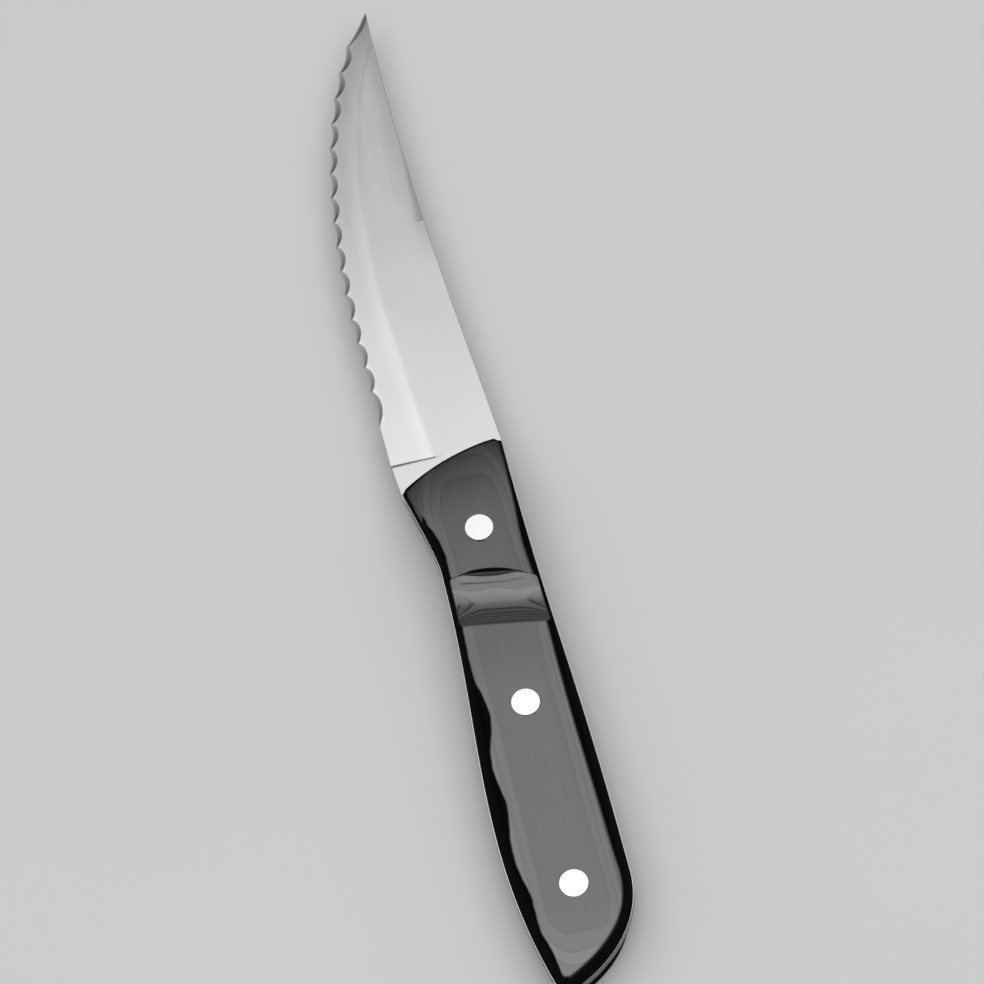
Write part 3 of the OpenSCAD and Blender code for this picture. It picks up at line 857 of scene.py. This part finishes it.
def mark_wood(piece, side):
    """Two numbers on a scale: how much painted light the face gets, and how steeply the groove cuts
    the layers there. The walls, the shoulders and the rounded edge over the front end get painted
    shade, the front gets less painted light than the rest, the groove's floor ahead of its deepest
    line and the face behind the groove get more, and the groove's step and its foot get painted
    shade, with a fine darker line behind the groove. Each number is a product of cubic steps, less
    narrow round humps on the foot and on the line, which leans and bows with y and with its square."""
    x, y, z = spots(piece)
    drop, onto_belly, onto_back = shoulders(x, y)
    low, foot, rim, share = groove_lines(y)
    sunk = hollow(x, y) - drop
    inside = np.minimum(onto_belly + belly_shoulder(x), onto_back + back_shoulder(x))
    # Painted light on the face's flat; the walls and shoulders get painted shade.
    flat = np.minimum(smooth(onto_belly / (0.3 * mm) + 0.85), smooth(onto_back / (0.9 * mm) + 0.4))
    flat = np.maximum(flat, smooth(sunk / (0.15 * mm)) * smooth(inside / (0.5 * mm) - 0.8))
    behind = arch_x(y, scale_t - nose_drop) - x
    # Painted shade over the rounded edge of the front end, and less painted light towards the
    # front.
    flat = flat * smooth((behind - 0.35 * mm) / (0.4 * mm))
    flat = flat * (0.3 + 0.7 * (1 - np.exp(-np.maximum(behind, 0) / (9 * mm))))
    # More painted light on the groove's floor ahead of its deepest line and on the face behind the
    # groove.
    flat = flat * (1 + 0.2 * smooth((x - low) / (2 * mm)) * (sunk > 0)
                   + 0.18 * smooth((80 * mm - x) / (12 * mm)))
    # Painted shade on the groove's step and its foot, and a fine darker line behind the groove.
    down = ((rim - x) / (rim - foot)).clip(-1, 3) * 4
    step = smooth(down + 1) * (1 - 0.55 * smooth(down - 1.6)) * smooth(5 - down) * smooth(share * 2)
    line = line_x + line_lean * y + line_bow * y * y
    ends = smooth((line_half - np.abs(y)) / (1.2 * mm))
    step = np.maximum(step, 0.95 * np.exp(-((x - foot) / foot_w) ** 2) * ends)
    step = np.maximum(step, (0.55 + 30 * y) * np.exp(-((x - line) / line_w) ** 2) * ends)
    flat = flat * (1 - np.where(sunk > -0.05 * mm, step, 0).clip(0, 1))
    keep(piece, "painted_lit_face", np.where(side * z > half_t + 0.5 * scale_t, flat, 0))
    keep(piece, "ramp", smooth(sunk / (0.2 * mm)) * smooth((low + 0.3 * mm - x) / (0.9 * mm)))


def laminate_finish():
    """Resin-filled black laminate. Its layers lie level, each a shade of its own with a thin dark
    glue line, so a crowned or hollowed face cuts them into rings and stripes. The faces have a dull
    gloss from buffing, and the walls are left rougher from the sander. The faces' colour is painted
    lit and the walls' colour painted near black as shade, following the number kept on the scales.
    On the groove's ramp the glue lines are left wide and dull, and painted shade darkens the face."""
    layer_t, layer_wave = 0.30 * mm, 0.20
    # Colours of the face painted lit, and of the walls painted near black as shade.
    lit_face_dark, lit_face_pale = (0.024, 0.024, 0.023, 1), (0.10, 0.099, 0.094, 1)
    shaded_wall_dark, shaded_wall_pale = (0.0015, 0.0015, 0.0015, 1), (0.0045, 0.0045, 0.0042, 1)
    wood = Finish("black_laminate_wood")
    flat, ramp = wood.mark("painted_lit_face"), wood.mark("ramp")
    height = wood.add("ShaderNodeSeparateXYZ", None, wood.place(), out=2)
    wave = wood.noise(60, 2.0, (0.35, 1, 1))
    layer = (height + wave * layer_wave * mm) / layer_t
    number = layer.math("FLOOR")
    shade = wood.add("ShaderNodeTexWhiteNoise", {"noise_dimensions": "1D"}, W=number)
    middle = (layer - number - 0.5).math("ABSOLUTE")
    glue = ((middle + ramp * 0.08 - 0.36) * 7.0).math("MINIMUM", 1.0).math("MAXIMUM", 0.0)
    fibre = wood.noise(1500, 3.0, (0.035, 1, 1))
    tone = (shade * 0.72 + fibre * 0.28) * (1 - glue * (0.55 + ramp * 0.20))
    painted_lit_face = wood.blend(tone, lit_face_dark, lit_face_pale)
    shaded_wall = wood.blend(tone, shaded_wall_dark, shaded_wall_pale)
    # Painted shade on the groove's ramp, besides its wide dull glue lines; the coat below is
    # lowered by the same ramp number.
    colour = wood.blend(flat * (1 - ramp * (0.15 + glue * 0.35)), shaded_wall, painted_lit_face)
    coat = flat * (0.72 + tone * 0.26) * (1 - ramp * (0.12 + glue * 0.33)) + 0.02
    rough = 0.52 - flat * 0.08 + fibre * 0.10
    relief = wood.relief(0.25, 0.03 * mm, fibre + tone * 0.5)
    return wood.surface(Base_Color=colour, Roughness=rough, Specular_IOR_Level=0.0,
                        Coat_Weight=coat, Coat_Roughness=0.30, Coat_IOR=2.1, Normal=relief)


laminate = laminate_finish()
head_hole_r = head_r + 0.01 * mm
head_t = 2.2 * mm
head_z = half_t + scale_t - 0.03 * mm
drill_low, drill_high = half_t - 1 * mm, half_t + scale_t + 1 * mm
for name, side in [("left_scale", 1), ("right_scale", -1)]:
    piece = scale_skin("knife_" + name, side)
    profile = [(0, drill_low), (hole_r, drill_low), (hole_r, head_z - head_t),
               (head_hole_r, head_z - head_t), (head_hole_r, drill_high), (0, drill_high)]
    bore(piece, [turned_drill(x, [(r, side * z) for r, z in profile], 96) for x in rivet_xs])
    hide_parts(name)
    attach(piece, "root")
    mark_wood(piece, side)
    piece.data.materials.clear()
    piece.data.materials.append(laminate)


# Rivets: three cutlery rivets of stainless steel, each a stud that is pressed into a sleeve, with
# their heads ground flush with the scales and polished.
def rivet_finish():
    """Polished stainless steel with faint grinding lines along the handle."""
    duller_steel, brighter_steel = (0.75, 0.76, 0.75, 1), (0.83, 0.83, 0.82, 1)
    steel = Finish("polished_steel")
    lines = steel.noise(2500, 2.0, (0.05, 1, 1))
    cloud = steel.noise(220, 2.0)
    colour = steel.blend(cloud, duller_steel, brighter_steel)
    rough = 0.16 + lines * 0.10 + cloud * 0.06
    relief = steel.relief(0.04, 0.01 * mm, lines)
    return steel.surface(Base_Color=colour, Metallic=1.0, Roughness=rough, Normal=relief)


polished = rivet_finish()
for name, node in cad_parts.items():
    if "rivet" in name:
        for slot in node.material_slots:
            slot.material = polished

# Floor: a plain pale board under the knife.
floor_half = 4
floor_mesh = bpy.data.meshes.new("floor")
floor_mesh.from_pydata([(-floor_half, -floor_half, 0), (floor_half, -floor_half, 0),
                        (floor_half, floor_half, 0), (-floor_half, floor_half, 0)],
                       [], [(0, 1, 2, 3)])
floor = bpy.data.objects.new("floor", floor_mesh)
bpy.context.scene.collection.objects.link(floor)
board_dark, board_pale = (0.76, 0.76, 0.755, 1), (0.79, 0.79, 0.785, 1)
board = Finish("pale_floor")
grain = board.noise(9, 3.0)
floor.data.materials.append(board.surface(
    Base_Color=board.blend(grain, board_dark, board_pale), Roughness=0.85, Specular_IOR_Level=0.2))

# Light: a dim sky that is brighter overhead, and one wide soft lamp above the handle.
sky_level, sky_overhead = 0.14, 0.52
lamp_side, lamp_power = 1.7, 9.4
sky = bpy.data.worlds.new("studio")
bpy.context.scene.world = sky
dome = Finish("studio", world=sky)
direction = dome.add("ShaderNodeTexCoord", None, out=0)
up = dome.add("ShaderNodeSeparateXYZ", None, direction, out=2)
glow = dome.add("ShaderNodeMapRange", None, up, 0.0, 1.0, sky_level, sky_overhead)
dome.add("ShaderNodeOutputWorld", None, Surface=dome.add(
    "ShaderNodeBackground", None, Color=(0.98, 1.0, 0.985, 1), Strength=glow))
lamp_data = bpy.data.lights.new("lamp", "AREA")
lamp_data.shape, lamp_data.size, lamp_data.energy = "SQUARE", lamp_side, lamp_power
lamp = bpy.data.objects.new("lamp", lamp_data)
lamp.location = (-0.22, 0, 1.2)
lamp.visible_camera = False
bpy.context.scene.collection.objects.link(lamp)

# Camera: it looks along the knife from behind the butt, tilted off the vertical, a little rolled.
tilt, roll, yaw = math.radians(26.5), math.radians(9.5), math.radians(4.957)
lens, distance = 182.93, 1.11066
target = Vector(zero) + Vector((120.46, -5.112, 0)) * mm
upright = Vector((0, 0, 1))
level = Vector((-math.cos(yaw), math.sin(yaw), 0))
sideways = Vector((-math.sin(yaw), -math.cos(yaw), 0))
away = level * math.sin(tilt) + upright * math.cos(tilt)
down = level * math.cos(tilt) - upright * math.sin(tilt)
right = down * math.sin(roll) + sideways * math.cos(roll)
over = sideways * math.sin(roll) - down * math.cos(roll)
eye = bpy.data.cameras.new("camera")
eye.lens, eye.sensor_width, eye.clip_start = lens, 36, 0.01
camera = bpy.data.objects.new("camera", eye)
aim = Matrix((right, over, away)).transposed().to_4x4()
camera.matrix_world = Matrix.Translation(target + away * distance) @ aim
bpy.context.scene.collection.objects.link(camera)
bpy.context.scene.camera = camera
bpy.context.scene.view_settings.view_transform = "Standard"
